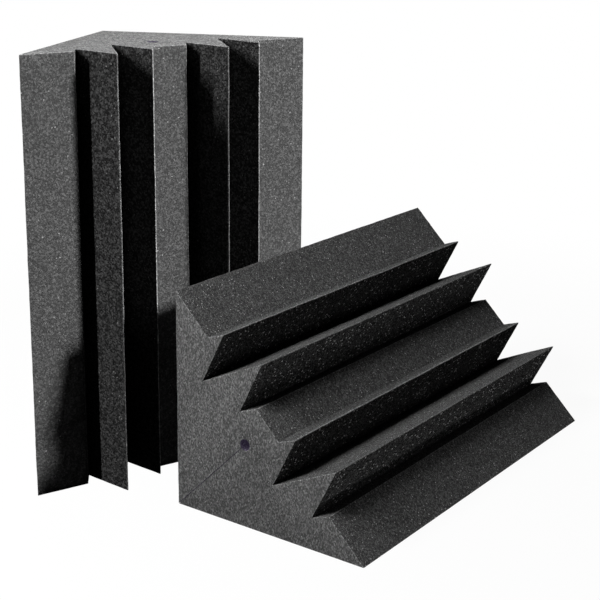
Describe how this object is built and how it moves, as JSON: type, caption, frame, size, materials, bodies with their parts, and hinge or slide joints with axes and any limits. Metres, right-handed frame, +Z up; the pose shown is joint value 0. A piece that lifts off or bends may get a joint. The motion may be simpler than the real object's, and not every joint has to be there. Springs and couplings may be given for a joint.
{
  "type": "corner bass trap",
  "caption": "Triangular foam prism for a room corner, its slanted front cut into flats, sharp teeth and V grooves, with a bore slit to the back corner; shown standing and lying.",
  "frame": {"origin": "under the middle of the pair's bounding box, on the floor that both traps rest on", "axes": "+Z up, +Y along the lying trap's length from its near end to its far end, +X from its upright back face towards its front"},
  "size_m": [0.5982, 0.71, 0.6096],
  "materials": {
    "foam": "charcoal open-cell polyurethane foam, cut faces with fine open cells"
  },
  "bodies": {
    "root": {"lying_trap": "foam", "standing_trap": "foam"}
  },
  "joints": []
}
